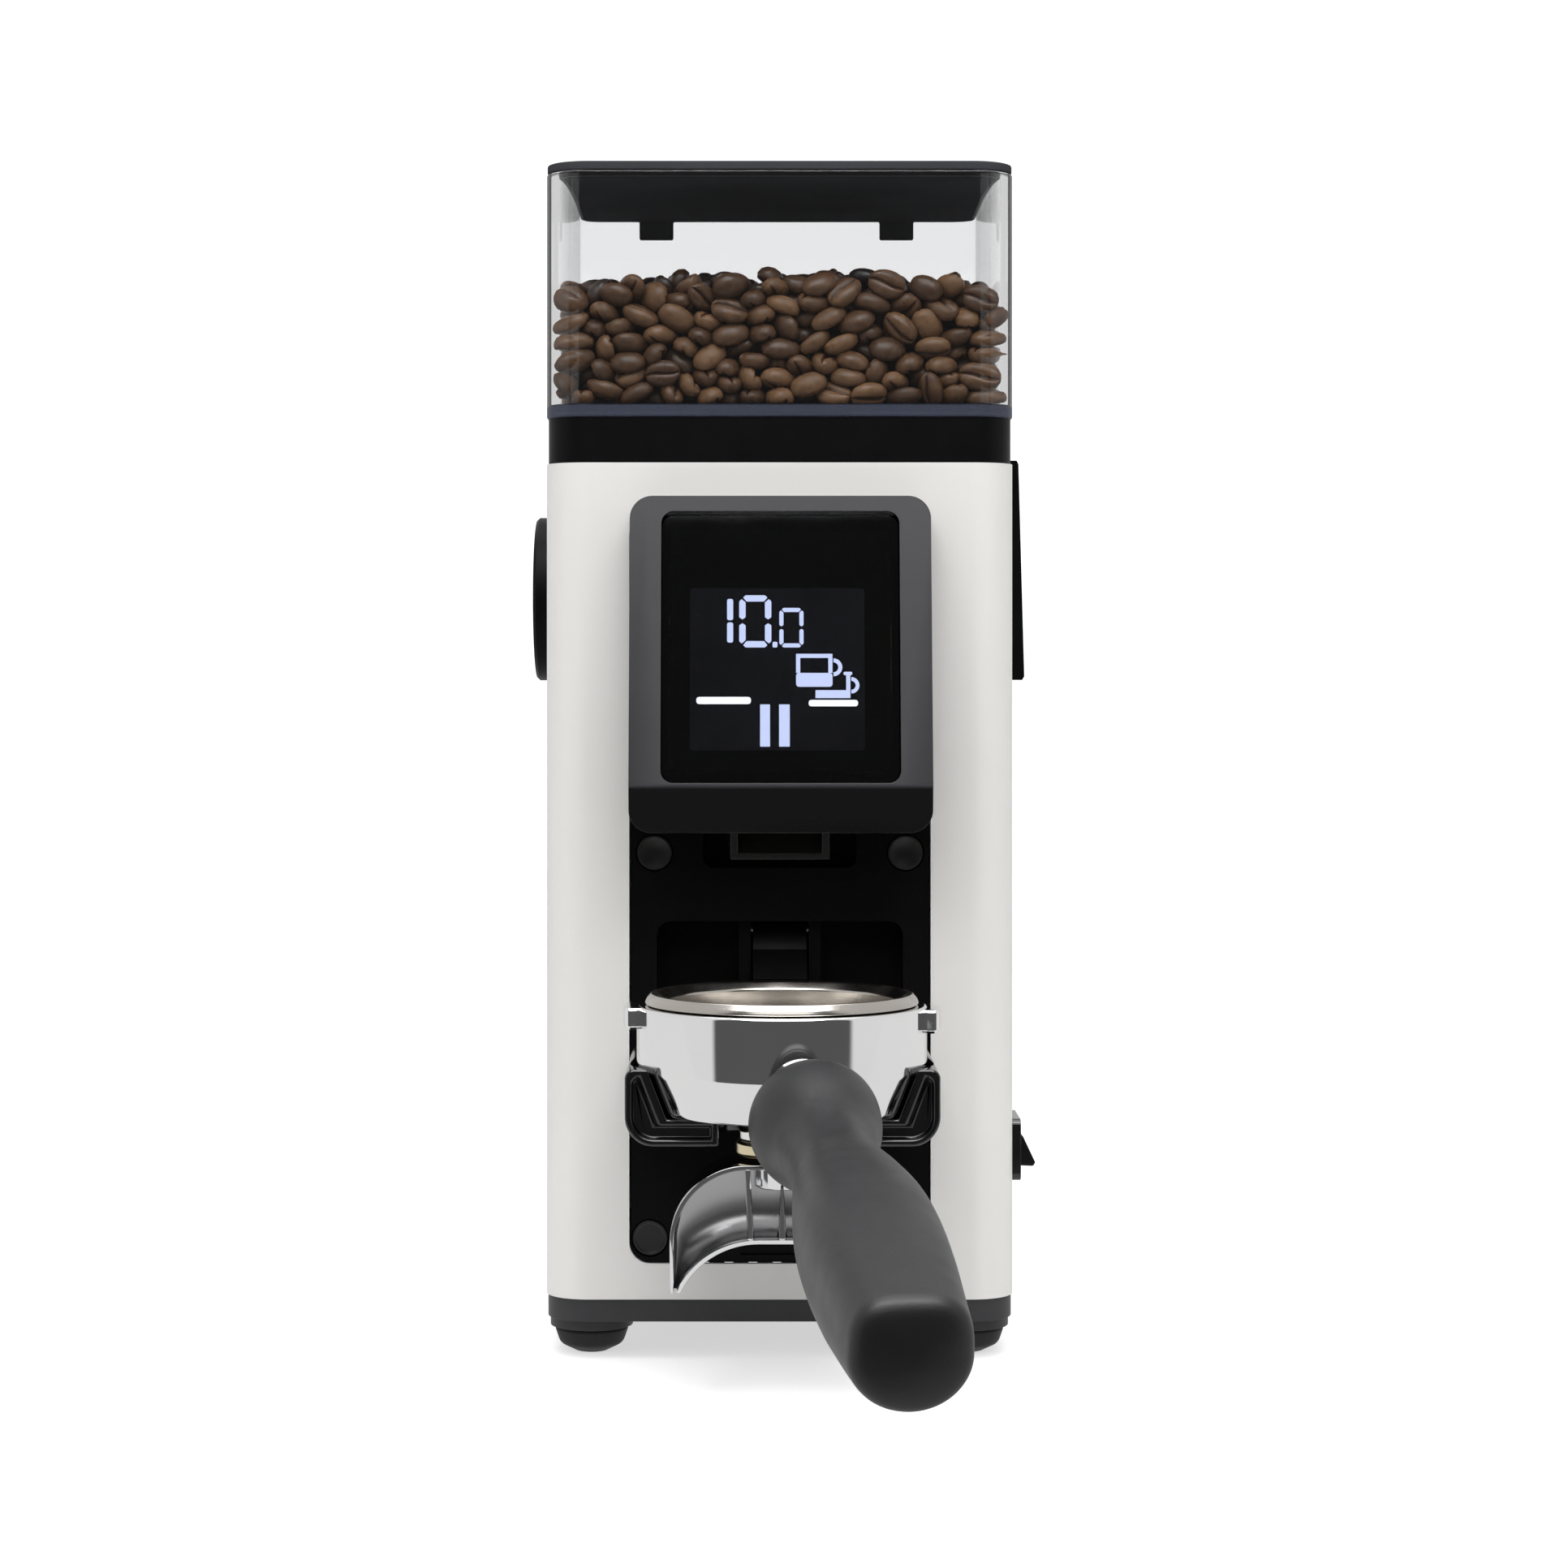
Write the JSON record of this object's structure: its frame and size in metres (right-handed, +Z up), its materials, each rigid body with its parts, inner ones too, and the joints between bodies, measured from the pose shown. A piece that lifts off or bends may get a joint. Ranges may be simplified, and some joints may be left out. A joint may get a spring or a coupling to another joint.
{
  "type": "burr coffee grinder",
  "caption": "Espresso burr grinder: painted box body, clear bean hopper, tilted display, fork with a filter holder under the outlet.",
  "frame": {"origin": "point on the table straight below the filter basket, on the grinder's middle plane; it is also the bottom centre of the whole outline", "axes": "+Z up; +Y from the user towards the back of the grinder; +X to the user's right; the front faces -Y"},
  "size_m": [0.1387, 0.4, 0.3211],
  "materials": {
    "body_paint": "warm white satin coat, very fine texture",
    "black_trim": "satin black moulding with a faint grain",
    "display_frame": "fine-grained dark grey moulding",
    "display_glass": "smoked glass over a lit screen",
    "screen": "screen module, pale blue-white figures",
    "fork_gloss": "gloss black coat on the fork and rocker",
    "spout_plastic": "dark smoky plastic",
    "clear_plastic": "clear polished moulding",
    "coffee_beans": "medium-roast beans with oily highlights",
    "dark_parts": "plain inner moulding",
    "seal_rubber": "soft black seal",
    "handle_grip": "soft-touch charcoal grip",
    "chrome": "mirror chrome on brass",
    "basket_steel": "pressed and polished stainless steel",
    "brass": "nickel-washed brass",
    "plain_steel": "zinc-plated steel",
    "burr_steel": "hardened ground steel",
    "cast_aluminium": "die-cast, machined on its seats",
    "ring_brass": "turned brass",
    "dial_steel": "turned steel",
    "motor_copper": "enamelled copper wire",
    "circuit_board": "green soldermask",
    "component_blue": "sleeved component",
    "transformer_tape": "taped core",
    "terminal_plastic": "ivory moulding",
    "button_red": "red plunger"
  },
  "bodies": {
    "machine": {"housing_shell": "body_paint", "base_plate": "black_trim", "rubber_feet": "seal_rubber", "shell_screws": "plain_steel", "top_collar": "black_trim", "rear_panel": "black_trim", "cord_gland": "black_trim", "front_panel": "black_trim", "panel_caps": "black_trim", "display_housing": "display_frame", "display_glass": "display_glass", "lcd_module": "screen", "control_board": "circuit_board", "fork": "fork_gloss", "fork_screws": "plain_steel", "outlet_spout": "spout_plastic", "chute": "dark_parts", "grinding_chamber": "cast_aluminium", "chassis_screws": "plain_steel", "motor_plate": "plain_steel", "motor_can": "plain_steel", "motor_windings": "motor_copper", "lower_end_bell": "cast_aluminium", "upper_end_bell": "cast_aluminium", "bearings": "plain_steel", "feed_throat": "dark_parts", "power_board": "circuit_board", "capacitor": "component_blue", "transformer": "transformer_tape", "terminal_block": "terminal_plastic", "switch_bezel": "fork_gloss", "micro_switch": "dark_parts", "latch_bracket": "plain_steel", "pivot_pins": "plain_steel"},
    "spindle": {"motor_shaft": "plain_steel", "rotor": "motor_copper", "cooling_fan": "dark_parts", "burr_carrier": "cast_aluminium", "lower_burr": "burr_steel", "lower_burr_screws": "plain_steel", "feed_screw": "cast_aluminium"},
    "adjuster": {"adjusting_ring": "ring_brass", "upper_burr": "burr_steel", "upper_burr_screws": "plain_steel"},
    "dial": {"adjust_dial": "black_trim", "dial_shaft": "dial_steel"},
    "paddle": {"dosing_paddle": "dark_parts"},
    "plunger": {"switch_button": "button_red"},
    "latch": {"latch_lever": "black_trim"},
    "rocker": {"power_rocker": "fork_gloss"},
    "gate": {"hopper_gate": "dark_parts"},
    "bean_hopper": {"hopper": "clear_plastic", "bean_charge": "coffee_beans"},
    "hopper_lid": {"lid": "black_trim", "lid_gasket": "seal_rubber"},
    "filter_holder": {"holder_body": "chrome", "filter_basket": "basket_steel", "spout_nut": "brass", "twin_spout": "chrome", "handle": "handle_grip"}
  },
  "joints": [
    {"name": "spindle_turn", "type": "hinge", "parent": "machine", "child": "spindle", "pos_m": [0, 0.108, 0.1], "axis": [0, 0, 1], "continuous": true},
    {"name": "dial_turn", "type": "hinge", "parent": "machine", "child": "dial", "pos_m": [-0.063, 0.108, 0.205], "axis": [1, 0, 0], "range_deg": [-270, 270]},
    {"name": "ring_turn", "type": "hinge", "parent": "machine", "child": "adjuster", "pos_m": [0, 0.108, 0.19], "axis": [0, 0, 1], "range_deg": [-54, 54]},
    {"name": "paddle_push", "type": "hinge", "parent": "machine", "child": "paddle", "pos_m": [0, 0.053, 0.1145], "axis": [1, 0, 0], "range_deg": [0, 8], "stiffness_Nm_per_rad": 0.02, "springref_deg": -17.19},
    {"name": "plunger_push", "type": "slide", "parent": "machine", "child": "plunger", "axis": [0, 1, 0], "range_m": [0, 0.0015]},
    {"name": "latch_press", "type": "hinge", "parent": "machine", "child": "latch", "pos_m": [0.057, 0.074, 0.222], "axis": [0, 1, 0], "range_deg": [0, 4], "stiffness_Nm_per_rad": 0.4, "springref_deg": -17.19},
    {"name": "rocker_tip", "type": "hinge", "parent": "machine", "child": "rocker", "pos_m": [0.058, 0.067, 0.05435], "axis": [0, 1, 0], "range_deg": [0, 12]},
    {"name": "gate_slide", "type": "slide", "parent": "machine", "child": "gate", "axis": [0, -1, 0], "range_m": [0, 0.039]},
    {"name": "hopper_lift", "type": "slide", "parent": "machine", "child": "bean_hopper", "axis": [0, 0, 1], "range_m": [0, 0.05]},
    {"name": "lid_lift", "type": "slide", "parent": "bean_hopper", "child": "hopper_lid", "axis": [0, 0, 1], "range_m": [0, 0.06]},
    {"name": "holder_lift", "type": "slide", "parent": "machine", "child": "filter_holder", "axis": [0, -0.7, 0.7141], "range_m": [0, 0.006]}
  ],
  "couplings": [
    {"joint": "ring_turn", "follows": "dial_turn", "ratio": -0.2},
    {"joint": "plunger_push", "follows": "paddle_push", "m_per_rad": 0.01074}
  ]
}
